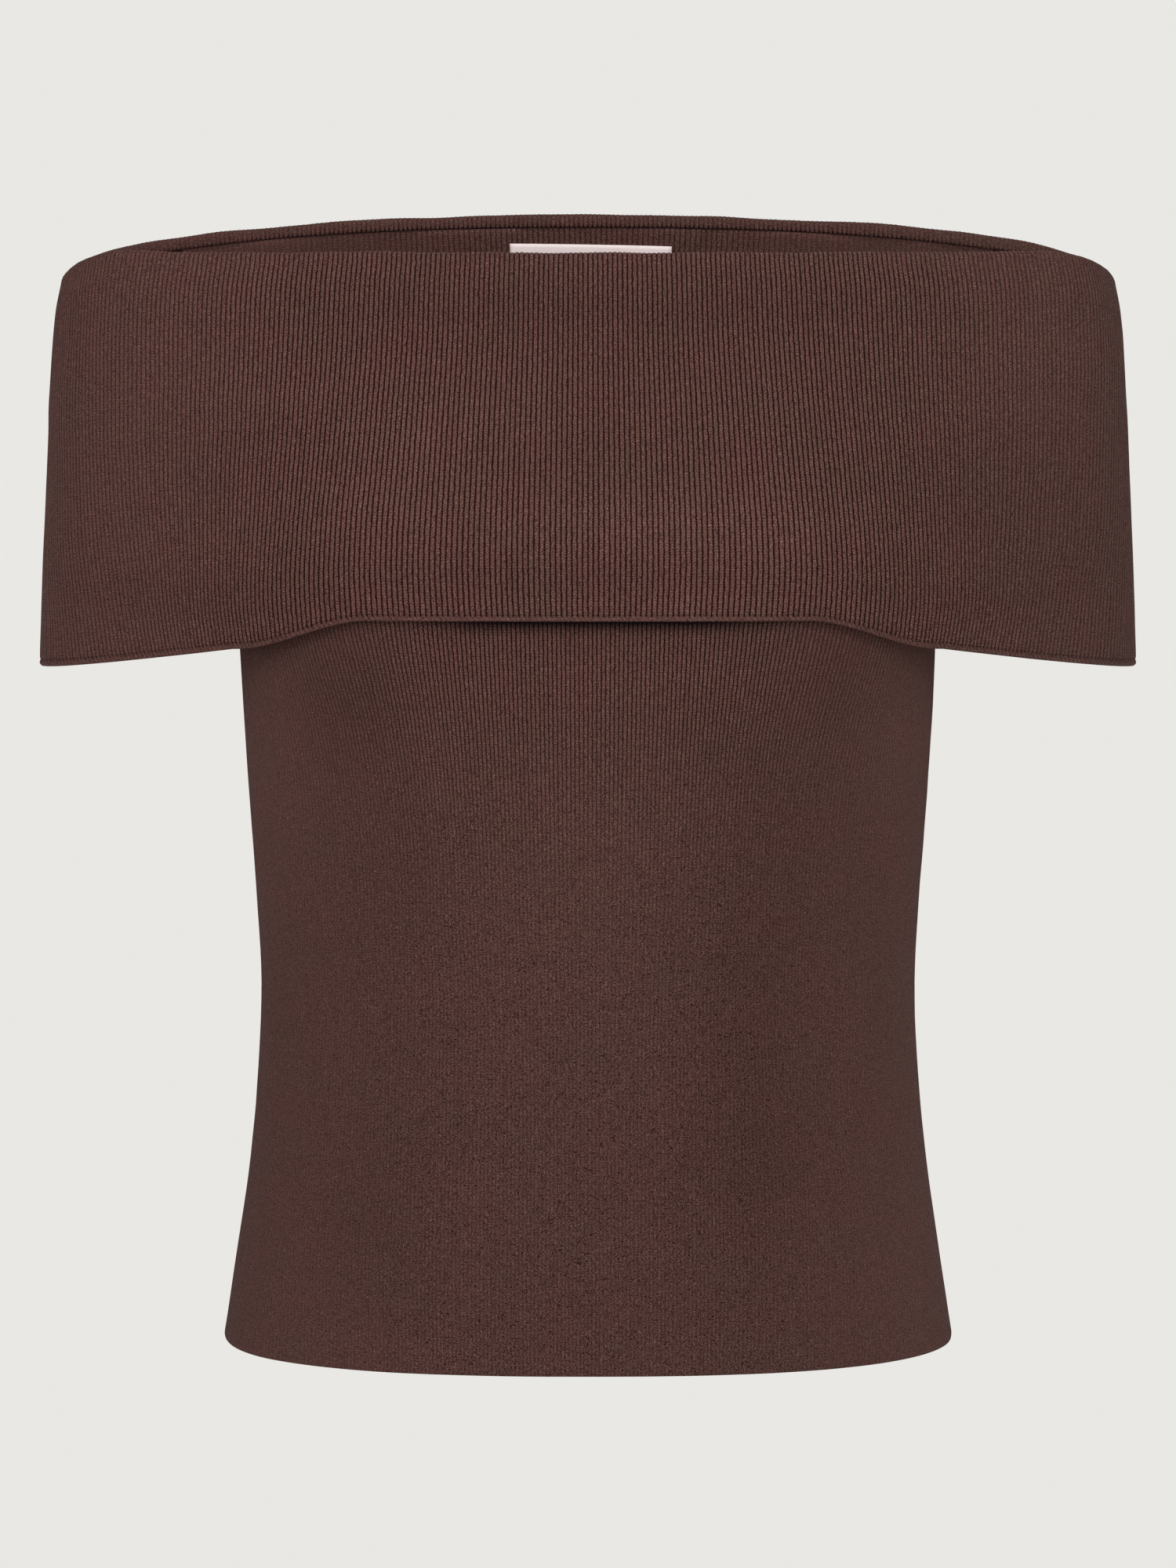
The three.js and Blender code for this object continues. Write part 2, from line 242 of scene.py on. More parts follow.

# Creases: centre x and z, half length, half width and height in mm, turn in degrees
FRONT_COLLAR_CREASES = [
    (-133, -58, 24, 4.5, 0.5, 4),
    (-150, -72, 30, 6, -0.45, -8),
    (-178, -84, 20, 7, -0.6, 12),
    (-92, -104, 26, 15, 0.9, 6),
    (62, -108, 52, 11, 0.8, -4),
    (118, -96, 30, 9, 0.5, -14),
    (150, -112, 34, 7, -0.6, -24),
    (172, -80, 18, 9, -0.5, 18),
    (188, -118, 16, 8, 0.45, -30),
    (146, -62, 30, 6, -0.4, 10),
    (-188, -122, 18, 9, 0.4, 24),
    (-60, -132, 60, 6, -0.5, 2),
    (66, -134, 54, 6, -0.5, -3),
    (0, -66, 70, 14, 0.25, 0),
]
BACK_COLLAR_CREASES = [
    (-150, -60, 30, 6, -0.5, 10),
    (140, -66, 34, 7, -0.5, -8),
    (-88, -92, 40, 8, 0.5, -6),
    (96, -98, 36, 9, 0.5, 8),
    (0, -80, 80, 12, -0.5, 1),
    (-182, -104, 18, 8, 0.5, 22),
    (184, -112, 20, 8, -0.5, 26),
    (30, -124, 60, 7, -0.4, -4),
]
FRONT_BODY_CREASES = [
    (-112, -196, 20, 46, -1.6, 8),
    (76, -190, 16, 44, -1.3, -6),
    (88, -300, 14, 90, -1.2, 0),
    (-98, -330, 14, 60, -1.0, 4),
    (0, -262, 46, 46, 1.3, 0),
    (-66, -376, 24, 4.5, -0.6, 18),
    (-44, -394, 20, 5, 0.4, 14),
    (40, -214, 30, 12, 0.35, -20),
    (110, -384, 22, 7, 0.45, -24),
]
BACK_BODY_CREASES = [
    (0, -292, 16, 70, -1.6, 0),
    (-56, -286, 40, 7, -0.7, 12),
    (58, -300, 38, 6, -0.7, -10),
    (-62, -318, 30, 7, 0.5, 8),
    (50, -268, 34, 8, 0.5, -14),
    (-96, -380, 20, 26, 0.8, 6),
    (100, -372, 20, 28, 0.7, -8),
]

# Painted light and shade on the cloth, in patches lighter where more light falls and darker where less falls:
# centre x and z, half length and half width in mm, change, turn in degrees
FRONT_COLLAR_PAINTED_LIGHT = [
    (-88, -106, 34, 22, 0.04, 10),
    (70, -117, 62, 22, 0.12, -3),
    (20, -110, 66, 14, 0.14, 0),
    (-52, -72, 24, 14, 0.05, 0),
    (-88, -110, 16, 16, 0.04, 0),
    (0, -106, 130, 17, 0.03, 0),
    (30, -143, 100, 8, 0.12, 0),
    (-78, -84, 22, 34, 0.08, 0),
    (-30, -62, 46, 20, 0.05, 0),
    (62, -72, 44, 20, 0.04, 0),
    (-130, -58, 34, 6, 0.05, 3),
    (-140, -86, 44, 30, -0.05, 0),
    (-150, -140, 50, 12, -0.1, -6),
    (160, -104, 56, 36, -0.08, 8),
    (140, -142, 60, 9, -0.08, 6),
    (0, -22, 150, 10, -0.09, 0),
    (190, -36, 18, 36, 0.06, 0),
]
BACK_COLLAR_PAINTED_LIGHT = [
    (-70, -96, 60, 18, 0.05, 5),
    (96, -88, 50, 16, 0.05, -6),
    (150, -120, 60, 24, -0.07, 8),
    (-150, -70, 40, 20, -0.06, 0),
    (0, -20, 170, 12, -0.04, 0),
]
FRONT_BODY_PAINTED_LIGHT = [
    (18, -168, 54, 14, 0.09, 0),
    (0, -256, 50, 62, 0.08, 0),
    (-96, -178, 24, 26, -0.2, -10),
    (-96, -395, 30, 34, -0.08, 0),
    (-84, -238, 26, 50, -0.08, 0),
    (-86, -350, 34, 60, -0.06, 16),
    (98, -176, 18, 18, -0.13, 20),
    (86, -210, 24, 50, -0.08, 0),
    (64, -318, 24, 100, -0.12, 2),
    (60, -374, 50, 26, -0.07, 0),
    (-136, -300, 12, 150, 0.05, 0),
    (-134, -190, 16, 60, 0.11, 0),
    (140, -330, 18, 150, 0.26, 0),
    (136, -175, 20, 40, 0.17, 0),
    (0, -430, 150, 30, -0.03, 0),
]
BACK_BODY_PAINTED_LIGHT = [
    (0, -290, 22, 90, -0.08, 0),
    (-70, -230, 40, 70, 0.05, 0),
    (74, -250, 40, 80, 0.05, 0),
    (-96, -350, 24, 60, -0.09, 0),
    (98, -340, 24, 70, -0.09, 0),
]


def smoothstep(low, high, x):
    t = np.clip((np.asarray(x, float) - low) / (high - low), 0, 1)
    return t * t * (3 - 2 * t)


def bell(distance, width):
    """1 at no distance, fading softly over the width."""
    return np.exp(-((distance / width) ** 2))


def at_least(least, share):
    """A share of 0 to 1, squeezed so that it starts at the least value."""
    return least + (1 - least) * share


def section_at(table, key, at):
    """One row of a section table at any place down it, on a smooth curve through its rows."""
    places = table[key]
    i = int(np.clip(np.searchsorted(places, at) - 1, 0, len(places) - 2))
    width = places[i + 1] - places[i]
    t = min(max((at - places[i]) / width, 0.0), 1.0)

    def slope(values, k):
        before, after = max(k - 1, 0), min(k + 1, len(places) - 1)
        return (values[after] - values[before]) / (places[after] - places[before])

    return {
        column: (2 * t**3 - 3 * t**2 + 1) * values[i]
        + (3 * t**2 - 2 * t**3) * values[i + 1]
        + (t**3 - 2 * t**2 + t) * width * slope(values, i)
        + (t**3 - t**2) * width * slope(values, i + 1)
        for column, values in table.items()
    }


def ring_points(side, section, share, offset=0.0):
    """Points of a rounded ring at shares of its quarter's length from the centre line, moved outwards."""
    half_width, squareness = section["half_width"], section["squareness"]
    depth = section["front_depth"] if side == FRONT else section["back_depth"]
    angle = np.linspace(0, math.pi / 2, RING_SAMPLES)
    across_ring = half_width * np.sin(angle) ** (2 / squareness)
    deep_ring = depth * np.maximum(np.cos(angle), 0) ** (2 / squareness)
    deep_ring[-1] = 0
    walked = np.concatenate([[0], np.cumsum(np.hypot(np.diff(across_ring), np.diff(deep_ring)))])
    target = np.abs(share) * walked[-1]
    across = np.interp(target, walked, across_ring)
    deep = np.interp(target, walked, deep_ring)
    out_across = (across / half_width) ** (squareness - 1) / half_width
    out_deep = (deep / depth) ** (squareness - 1) / depth
    length = np.hypot(out_across, out_deep)
    x = np.sign(share) * (across + offset * out_across / length)
    y = side * (deep + offset * out_deep / length)
    return x, y, across / half_width, deep / depth


def fold_height(side, across_share):
    """Height of the collar's fold, by the share of its half width from the centre line."""
    drop_starts = FOLD_DROP_STARTS if side == FRONT else 0.0
    centre_height = 0.0 if side == FRONT else FOLD_BACK_HEIGHT
    over_arm = np.clip((across_share - drop_starts) / (1 - drop_starts), 0, 1)
    rounded = (1 - over_arm**FOLD_ROUNDNESS) ** (1 / FOLD_ROUNDNESS)
    shoulder = FOLD_SHOULDER * bell(across_share - FOLD_SHOULDER_AT, FOLD_SHOULDER_WIDTH)
    turn_drop = FOLD_TURN_DROP * smoothstep(FOLD_TURNS_AT, 1, across_share)
    return FOLD_SIDE_HEIGHT + (centre_height - FOLD_SIDE_HEIGHT) * rounded + shoulder - turn_drop


def collar_edge_height(x):
    bust_to_arm = smoothstep(EDGE_LEAVES_BUST, EDGE_MEETS_ARM, np.abs(x))
    beyond = np.maximum(np.abs(x) - EDGE_MEETS_ARM, 0)
    return COLLAR_EDGE_FRONT - EDGE_ARM_DROP * bust_to_arm - EDGE_SIDE_SLOPE * beyond


def bust_rise(side, x, z):
    if side == BACK:
        return np.zeros_like(x)
    across = (np.abs(x) - BUST_FROM_CENTRE) / BUST_HALF_WIDTH
    up = (z + BUST_BELOW) / BUST_HALF_HEIGHT
    return BUST_RISE * np.exp(-across * across - up * up)


def flow(share, waves):
    """Moves the ribs along their row, by waves that leave its middle and its ends in place."""
    moved = share
    for count, wave in enumerate(("first", "second", "third"), start=1):
        moved = moved + waves[wave] * np.sin(count * math.pi * share) / (count * math.pi)
    return moved


def collar_row(side, share, down):
    """The collar's outer side. Down is 0 to 1 up from the seam, 1 to 2 over the roll, 2 to 3 to the edge."""
    drop = min(max(down - 2, 0.0), 1.0)
    section = section_at(COLLAR_SECTIONS, "drop", drop)
    share = flow(share, section_at(COLLAR_FLOW, "drop", drop))
    turn = math.pi * min(max(down - 1, 0.0), 1.0)
    x, y, across_share, _ = ring_points(side, section, share, -ROLL_RADIUS * math.cos(turn))
    to_seam = (SEAM_BELOW_FOLD - ROLL_RADIUS) * (1 - min(max(down, 0.0), 1.0))
    roll = fold_height(side, across_share) - ROLL_RADIUS * (1 - math.sin(turn)) - to_seam
    z = roll + (collar_edge_height(x) - roll) * drop
    rise = COLLAR_BUST_SHARE * bust_rise(side, x, z) * float(smoothstep(0, 0.5, drop))
    return np.stack([x, y + side * rise, z], axis=1)


def panel_share(below):
    """Share of the ring that a body panel covers, less than 1 above the underarm."""
    up = min(max((UNDERARM_BELOW - below) / ARMHOLE_CURVE, 0.0), 1.0)
    return 1 + (PANEL_SHARE_AT_NECK - 1) * math.sqrt(1 - (1 - up) ** 2)


def body_row(side, share, below):
    """The body's outer side, by the length below the fold. The hem dips, least at the side seams."""
    section = section_at(BODY_SECTIONS, "below", below)
    share = flow(share, section_at(BODY_FLOW, "below", below)) * panel_share(below)
    x, y, across_share, deep_share = ring_points(side, section, share)
    follows_fold = 1 - float(smoothstep(0, UNDERARM_BELOW, below))
    follows_hem = float(smoothstep(HEM_BELOW - HEM_DIP_LENGTH, HEM_BELOW, below))
    fade = HEM_DIP_FADES_BELOW
    dips = np.where(deep_share < fade, deep_share**2 / (2 * fade) + fade / 2, deep_share)
    z = follows_fold * fold_height(side, across_share) - below - follows_hem * HEM_DIP * dips
    return np.stack([x, y + side * bust_rise(side, x, z), z], axis=1)


def soft_noise(seed, across, down, wavelength):
    """Smooth uneven waves of about one wavelength, between about -2 and 2, the same on every run."""
    rng = np.random.default_rng(seed)
    total = np.zeros(np.broadcast(across, down).shape)
    for _ in range(NOISE_WAVES):
        turn, phase = rng.uniform(0, 2 * math.pi, 2)
        pace = 2 * math.pi / (wavelength * rng.uniform(0.7, 1.5))
        total += np.cos(pace * (across * math.cos(turn) + down * math.sin(turn)) + phase)
    return total / math.sqrt(NOISE_WAVES)


def spots_at(rows, points):
    """Sum of listed soft spots at each point of a panel: heights of creases, or changes of painted light and
    shade.
    """
    x, z = points[..., 0], points[..., 2]
    total = np.zeros(x.shape)
    for centre_x, centre_z, length, width, amount, turn in rows:
        along_x, along_z = math.cos(math.radians(turn)), math.sin(math.radians(turn))
        along = (x - centre_x) * along_x + (z - centre_z) * along_z
        across = (z - centre_z) * along_x - (x - centre_x) * along_z
        total += amount * np.exp(-((along / length) ** 2) - (across / width) ** 2)
    return total


def outward(points, side):
    """Unit normals of a grid of points whose rows go down and whose columns go right."""
    normal = side * np.cross(np.gradient(points, axis=1), np.gradient(points, axis=0))
    return normal / np.maximum(np.linalg.norm(normal, axis=2, keepdims=True), 1e-9)


def rib_places(ribs):
    """Places of the columns across a panel, counted in ribs from its left edge."""
    count = 2 * ribs
    return np.append((np.arange(count)[:, None] + RIB_PHASES).ravel(), count)


def rib_relief(seed, ribs_at, lengths, strength):
    """Relief of the ribs, by the rib number at each point. Each is a little higher or lower than the next."""
    heights = np.interp(ribs_at % 1, np.append(RIB_PHASES, 1), np.append(RIB_HEIGHTS, 0))
    each = 1 + RIBS_DIFFER * np.random.default_rng(seed).standard_normal(2 * COLLAR_RIBS + 1)
    slow = 1 + RIB_CHANGES * soft_noise(seed + 1, ribs_at, lengths[:, None], RIB_CHANGE_LENGTH)
    number = np.clip(ribs_at, 0, 2 * COLLAR_RIBS).astype(int)
    return heights * each[number] * slow * at_least(RELIEF_OF_CALM_RIB, strength)


def build_mesh(name, outer, inner, knit_outer, knit_inner, values, side):
    """A closed thin shell. The inner grid has every second row and column of the outer one."""
    rows, columns = outer.shape[:2]
    inner_rows, inner_columns = inner.shape[:2]
    outer_at = np.arange(rows * columns).reshape(rows, columns)
    inner_at = rows * columns + np.arange(inner_rows * inner_columns).reshape(inner_rows, inner_columns)

    def quads(at):
        return np.stack([at[:-1, :-1], at[:-1, 1:], at[1:, 1:], at[1:, :-1]], axis=2).reshape(-1, 4)

    def strip(fine, coarse):
        """Five-sided faces between an edge of the outer grid and the same edge of the inner one."""
        ends = [fine[:-2:2], fine[1:-1:2], fine[2::2], coarse[1:], coarse[:-1]]
        return np.stack(ends, axis=1)

    skins = np.concatenate([quads(outer_at), quads(inner_at)[:, ::-1]])
    bands = [
        strip(outer_at[0, :], inner_at[0, :])[:, ::-1],
        strip(outer_at[-1, :], inner_at[-1, :]),
        strip(outer_at[:, 0], inner_at[:, 0]),
        strip(outer_at[:, -1], inner_at[:, -1])[:, ::-1],
    ]
    faces = skins.tolist() + np.concatenate(bands).tolist()
    if side == BACK:
        faces = [face[::-1] for face in faces]
    vertices = np.concatenate([outer.reshape(-1, 3), inner.reshape(-1, 3)]) * MM
    mesh = bpy.data.meshes.new(name)
    mesh.from_pydata(vertices.tolist(), [], faces)
    mesh.shade_smooth()

    corner = np.empty(len(mesh.loops), int)
    mesh.loops.foreach_get("vertex_index", corner)
    knit = np.concatenate([knit_outer.reshape(-1, 2), knit_inner.reshape(-1, 2)])
    mesh.uv_layers.new(name="knit").data.foreach_set("uv", knit[corner].ravel())

    # Map for baking: the outer skin above the inner one, and the edge bands beside them in the margins
    def spread_map(at, first, last):
        down, across = np.meshgrid(
            np.linspace(first, last, at.shape[0]), np.linspace(*BAKE_ACROSS, at.shape[1]), indexing="ij"
        )
        return np.stack([across, down], axis=2).reshape(-1, 2)

    place = np.concatenate([spread_map(outer_at, *BAKE_OUTER), spread_map(inner_at, *BAKE_INNER)])
    laid = place[corner]
    start = 4 * len(skins)
    is_inner = corner >= rows * columns
    for band, (margin, upright) in zip(bands, BAKE_BANDS):
        here = slice(start, start + band.size)
        start += band.size
        if margin is None:
            continue
        beyond = margin + np.where(is_inner[here], BAKE_BAND_WIDTH, 0.0)
        if upright:
            row = np.where(is_inner[here], corner[here] - rows * columns, corner[here])
            width = np.where(is_inner[here], inner_columns, columns)
            count = np.where(is_inner[here], inner_rows, rows)
            laid[here, 1] = BAKE_OUTER[0] - (row // width) / (count - 1) * (BAKE_OUTER[0] - BAKE_OUTER[1])
            laid[here, 0] = beyond
        else:
            laid[here, 1] = beyond
    mesh.uv_layers.new(name="OFBake").data.foreach_set("uv", laid.ravel())

    for key, (on_outer, on_inner) in values.items():
        at_points = np.concatenate([on_outer.ravel(), on_inner.ravel()])
        mesh.attributes.new(key, "FLOAT", "POINT").data.foreach_set("value", at_points)
    obj = bpy.data.objects.new(name, mesh)
    bpy.context.collection.objects.link(obj)
    return obj


def lengths_down(rows):
    """Length walked down the middle column of a grid, in mm."""
    middle = rows[:, rows.shape[1] // 2]
    return np.concatenate([[0], np.cumsum(np.linalg.norm(np.diff(middle, axis=0), axis=1))])


def shell(name, side, base, places, ribs_at, relief, looks, seed, creases, painted_light):
    """A knitted panel from its solid's smooth outer side: swells and creases, ribs, then an inner skin."""
    strength, grain, shade = looks
    lengths = lengths_down(base)
    pitch = np.linalg.norm(np.diff(base[len(base) // 2], axis=0), axis=1).sum() / places[-1]
    across = places[None, :] * pitch
    swells = np.zeros(ribs_at.shape)
    for i, (height, length) in enumerate(SWELLS):
        swells += height * soft_noise(seed + i, across, lengths[:, None], length)
    ribs_from_side = np.minimum(places, places[-1] - places)[None, :]
    curl = SEAM_CURL * bell(ribs_from_side, SEAM_CURL_RIBS)
    grown = at_least(SWELLS_AT_SEAM, smoothstep(*SWELLS_GROW, ribs_from_side * pitch))
    uneven = (swells + spots_at(creases, base)) * grown
    form = base + outward(base, side) * (uneven - curl)[..., None]
    normal = outward(form, side)
    outer = form + normal * relief[..., None]

    kept = np.ix_(np.arange(0, len(base), 2), np.arange(0, len(places), 2))
    inner_relief = CLOTH + INNER_RIB_HEIGHT * (1 - 2 * np.abs(0.5 - (ribs_at + 0.5) % 1)) * strength
    inner = (form - normal * inner_relief[..., None])[kept]
    inner[:, [0, -1], 1] += SEAM_SLANT
    stitches = np.broadcast_to(-lengths[:, None] / STITCH, ribs_at.shape)
    knit_outer = np.stack([ribs_at, stitches], axis=2)
    knit_inner = np.stack([ribs_at[kept] + 0.5, stitches[kept]], axis=2)
    # Painted shade along the side seams, darkest at the edge
    painted_seam_shade = SEAM_PAINTED_SHADE * bell(ribs_from_side, SEAM_PAINTED_SHADE_RIBS)
    # The listed patches of painted light and shade lighten or darken the cloth
    shade = np.clip(shade * (1 + spots_at(painted_light, base)) - painted_seam_shade, *SHADE_LIMITS)
    values = {
        "rib_strength": (strength, 0.6 * strength[kept]),
        "grain": (grain, grain[kept]),
        "shade": (shade, np.ones(inner.shape[:2])),
    }
    return build_mesh(name, outer, inner, knit_outer, knit_inner, values, side)


def beside_seam(base, share, side):
    """Leaves half of the seam's gap at each side edge of a panel."""
    base[..., 1] += side * smoothstep(0.9, 1, np.abs(share)) * SEAM_GAP / 2
    return base


def collar_panel(name, side, seed, creases, painted_light):
    """Half of the collar: from the seam up over the roll and down to the beaded edge."""
    places = rib_places(COLLAR_RIBS)
    share = places / COLLAR_RIBS - 1
    last_rows = 3 - np.array(COLLAR_ROWS_AT_EDGE) / COLLAR_DROP
    hanging = np.linspace(2, last_rows[0], HANGING_ROWS)[1:-1]
    downs = np.concatenate([[0, 0.5, 1], 1 + np.arange(1, ROLL_ROWS + 1) / ROLL_ROWS, hanging, last_rows])
    base = np.stack([collar_row(side, share, down) for down in downs])
    base = beside_seam(base, share, side)
    lengths = lengths_down(base)
    from_edge = (lengths[-1] - lengths)[:, None]
    from_seam = lengths[:, None]
    from_centre = np.abs(base[..., 0])
    ribs_at = np.broadcast_to(places, base.shape[:2])

    # The ribs are calmer towards the arms and over the roll, and nearly gone on the cord at the edge
    downs = downs[:, None]
    on_roll = smoothstep(*COLLAR_ROLL_STARTS, downs) * (1 - smoothstep(*COLLAR_ROLL_ENDS, downs))
    over_roll = 1 - COLLAR_CALM_ROLL[side] * on_roll
    to_arms = 1 - COLLAR_CALM_ARMS * smoothstep(*COLLAR_TO_ARMS, from_centre)
    on_cord = 1 - COLLAR_CALM_CORD * (1 - smoothstep(*COLLAR_CORD_ENDS, from_edge))
    strength = to_arms * on_cord * over_roll
    grain = COLLAR_GRAIN + np.zeros(strength.shape)
    fades = at_least(COLLAR_RELIEF_CORD, smoothstep(*COLLAR_BESIDE_CORD, from_edge))
    fades = fades * at_least(COLLAR_RELIEF_SEAM, smoothstep(*COLLAR_BESIDE_SEAM, from_seam))
    relief = COLLAR_RIB_HEIGHT * rib_relief(seed, ribs_at, lengths, strength) * fades * over_roll

    on_bead = bell(from_edge - BEAD_FROM_EDGE, BEAD_WIDTH)
    chain = 0.5 + 0.5 * np.sin(2 * math.pi * (ribs_at + from_edge / CHAIN_LENGTH))
    relief += BEAD_HEIGHT * on_bead * (0.55 + 0.45 * chain)
    relief -= GROOVE_DEPTH * bell(from_edge - GROOVE_FROM_EDGE, GROOVE_WIDTH) + 0.4 * bell(from_edge, 0.35)
    # Painted shade in the groove above the cord and along the seam, and a painted highlight on the cord's
    # loops that fades towards the arms
    shade = 1 - 0.34 * bell(from_edge - 2.3, 0.5) - 0.5 * bell(from_seam, 0.7)
    shade = shade + on_bead * (0.9 * chain - 0.1 - 0.25 * smoothstep(60, 95, from_centre))
    return shell(name, side, base, places, ribs_at, relief, (strength, grain, shade), seed, creases, painted_light)


def body_panel(name, side, seed, creases, painted_light):
    """Front or back of the body, from the neckline seam past the armholes to the hem."""
    places = rib_places(BODY_RIBS)
    share = places / BODY_RIBS - 1
    at_hem = HEM_BELOW - np.array(BODY_ROWS_AT_HEM)
    low = np.linspace(BODY_ROWS_START, at_hem[0], BODY_ROWS_LOW)
    belows = np.concatenate([BODY_ROWS_ABOVE, BODY_ROWS_HIDDEN, BODY_ROWS_AT_COLLAR, low, at_hem[1:]])
    base = np.stack([body_row(side, share, below) for below in belows])
    base = beside_seam(base, share, side)
    ribs_at = np.stack([BODY_RIBS * (1 + share * panel_share(below)) for below in belows])
    lengths = lengths_down(base)
    down = belows[:, None]
    from_centre = np.abs(base[..., 0])

    # The ribs are calmer below the bust and towards the sides, and flat in the rows of the armholes
    low_down = smoothstep(*BODY_LOW, down)
    to_sides = 1 - BODY_CALM_SIDES * smoothstep(*BODY_TO_SIDES, from_centre)
    strength = (1 - BODY_CALM_LOW * low_down) * to_sides
    grain_to_sides = 1 - BODY_GRAIN_LESS * smoothstep(*BODY_GRAIN_TO_SIDES, from_centre)
    grain = (BODY_GRAIN + BODY_GRAIN_MORE * low_down) * grain_to_sides
    cut_by_armhole = smoothstep(*ARMHOLE_CUT_STARTS, down) * (1 - smoothstep(*ARMHOLE_CUT_ENDS, down))
    fades = (1 - cut_by_armhole) * at_least(BODY_RELIEF_HEM, smoothstep(*BODY_BESIDE_HEM, HEM_BELOW - down))
    relief = BODY_RIB_HEIGHT * rib_relief(seed, ribs_at, lengths, strength) * fades
    relief -= 0.3 * bell(HEM_BELOW - down, 0.5)

    # Painted shade along the seam at the top, and a painted shadow on the body under the collar's edge,
    # weaker away from the middle
    x, z = base[..., 0], base[..., 2]
    under_collar = collar_edge_height(x) - z
    hangs_free = 1 - CONTACT_FADES_BY * smoothstep(*CONTACT_ENDS, np.abs(x - CONTACT_CENTRE))
    near = (1 - smoothstep(*CONTACT_REACH, under_collar)) * smoothstep(*CONTACT_HIDDEN, under_collar)
    shade = 1 - 0.5 * bell(down - BODY_TOP, 0.8) - CONTACT_DARK * hangs_free * near
    return shell(name, side, base, places, ribs_at, relief, (strength, grain, shade), seed, creases, painted_light)


def label_panel():
    """The woven label, sewn inside the back just below the seam, with its top edge folded over."""
    across_back = np.linspace(-1, 1, LABEL_PANEL_SAMPLES)
    top_row = body_row(BACK, across_back, LABEL_FROM)
    low_row = body_row(BACK, across_back, LABEL_TO)
    walked = np.linalg.norm(np.diff(top_row, axis=0), axis=1)
    along_panel = np.concatenate([[0], np.cumsum(walked)])
    along_panel -= along_panel[-1] / 2
    columns, rows = LABEL_GRID
    across = LABEL_CENTRE + np.linspace(-1, 1, columns) * LABEL_WIDTH / 2
    grid = np.empty((rows, columns, 3))
    for i, down in enumerate(np.linspace(0, 1, rows)):
        below = LABEL_BELOW_SEAM + down * LABEL_HEIGHT + across * LABEL_SLOPE
        part = (below / (LABEL_TO - LABEL_FROM))[:, None]
        upper = np.stack([np.interp(across, along_panel, top_row[:, k]) for k in range(3)], axis=1)
        lower = np.stack([np.interp(across, along_panel, low_row[:, k]) for k in range(3)], axis=1)
        grid[i] = upper * (1 - part) + lower * part
    into = -outward(grid, BACK)
    from_top = np.linspace(0, LABEL_HEIGHT, rows)[:, None]
    from_side = (1 - np.abs(np.linspace(-1, 1, columns)))[None, :] * LABEL_WIDTH / 2
    wave = LABEL_WAVE * soft_noise(LABEL_SEED, across[None, :], from_top, LABEL_WAVE_LENGTH)
    fold = 0.3 * bell(from_top, 1.4)
    tucked = 0.35 * (bell(from_side, 0.8) + bell(from_top, 0.5))
    off = LABEL_OFF_PANEL + LABEL_BEHIND
    front = (grid + into * (off + LABEL_THICKNESS + wave + fold - tucked)[..., None])[:, ::-1]
    kept = np.ix_(np.arange(0, rows, 2), np.arange(0, columns, 2))
    behind = (grid + into * off)[:, ::-1][kept]
    threads = np.stack(np.broadcast_arrays(across[None, :], -from_top), axis=2)
    return build_mesh("woven_label", front, behind, threads, threads[kept], {}, BACK)


def linear(red, green, blue):
    """A display colour, 0 to 255, as the renderer's linear colour."""
    shares = (red / 255, green / 255, blue / 255)
    return tuple(c / 12.92 if c <= 0.0404 else ((c + 0.055) / 1.055) ** 2.4 for c in shares) + (1.0,)


class Nodes:
    """Short ways to add and link shader nodes."""

    def __init__(self, tree):
        self.tree = tree

    def add(self, kind, **settings):
        node = self.tree.nodes.new(kind)
        for key, value in settings.items():
            setattr(node, key, value)
        return node

    def put(self, value, socket):
        if isinstance(value, bpy.types.NodeSocket):
            self.tree.links.new(value, socket)
        else:
            socket.default_value = value

    def math(self, operation, *values):
        node = self.add("ShaderNodeMath", operation=operation)
        for socket, value in zip(node.inputs, values):
            self.put(value, socket)
        return node.outputs[0]

    def step(self, low, high, value, to_low=0.0, to_high=1.0):
        node = self.add("ShaderNodeMapRange", interpolation_type="SMOOTHSTEP")
        for socket, v in zip(node.inputs, (value, low, high, to_low, to_high)):
            self.put(v, socket)
        return node.outputs[0]

    def mix(self, factor, first, second, blend="MIX"):
        node = self.add("ShaderNodeMix", data_type="RGBA", blend_type=blend)
        self.put(factor, node.inputs["Factor"])
        self.put(first, node.inputs[6])
        self.put(second, node.inputs[7])
        return node.outputs[2]

    def noise(self, vector, scale, detail=2.0, roughness=0.5):
        node = self.add("ShaderNodeTexNoise")
        self.put(vector, node.inputs["Vector"])
        self.put(scale, node.inputs["Scale"])
        self.put(detail, node.inputs["Detail"])
        self.put(roughness, node.inputs["Roughness"])
        return node.outputs["Fac"]

    def split(self, vector):
        node = self.add("ShaderNodeSeparateXYZ")
        self.put(vector, node.inputs[0])
        return node.outputs

    def attribute(self, name):
        return self.add("ShaderNodeAttribute", attribute_name=name).outputs["Fac"]

    def about_zero(self, noise, width):
        """A noise of 0 to 1 moved to be about 0, of the given width."""
        return self.math("MULTIPLY", self.math("SUBTRACT", noise, 0.5), width)

    def from_middle(self, value):
        """0 in the middle of each unit of the value, and 1 at its ends."""
        away = self.math("ABSOLUTE", self.math("SUBTRACT", self.math("FRACT", value), 0.5))
        return self.math("MULTIPLY", away, 2.0)

    def bump(self, height, strength, distance, surface):
        node = self.add("ShaderNodeBump")
        node.inputs["Strength"].default_value = strength
        node.inputs["Distance"].default_value = distance
        self.put(height, node.inputs["Height"])
        self.put(node.outputs[0], surface.inputs["Normal"])


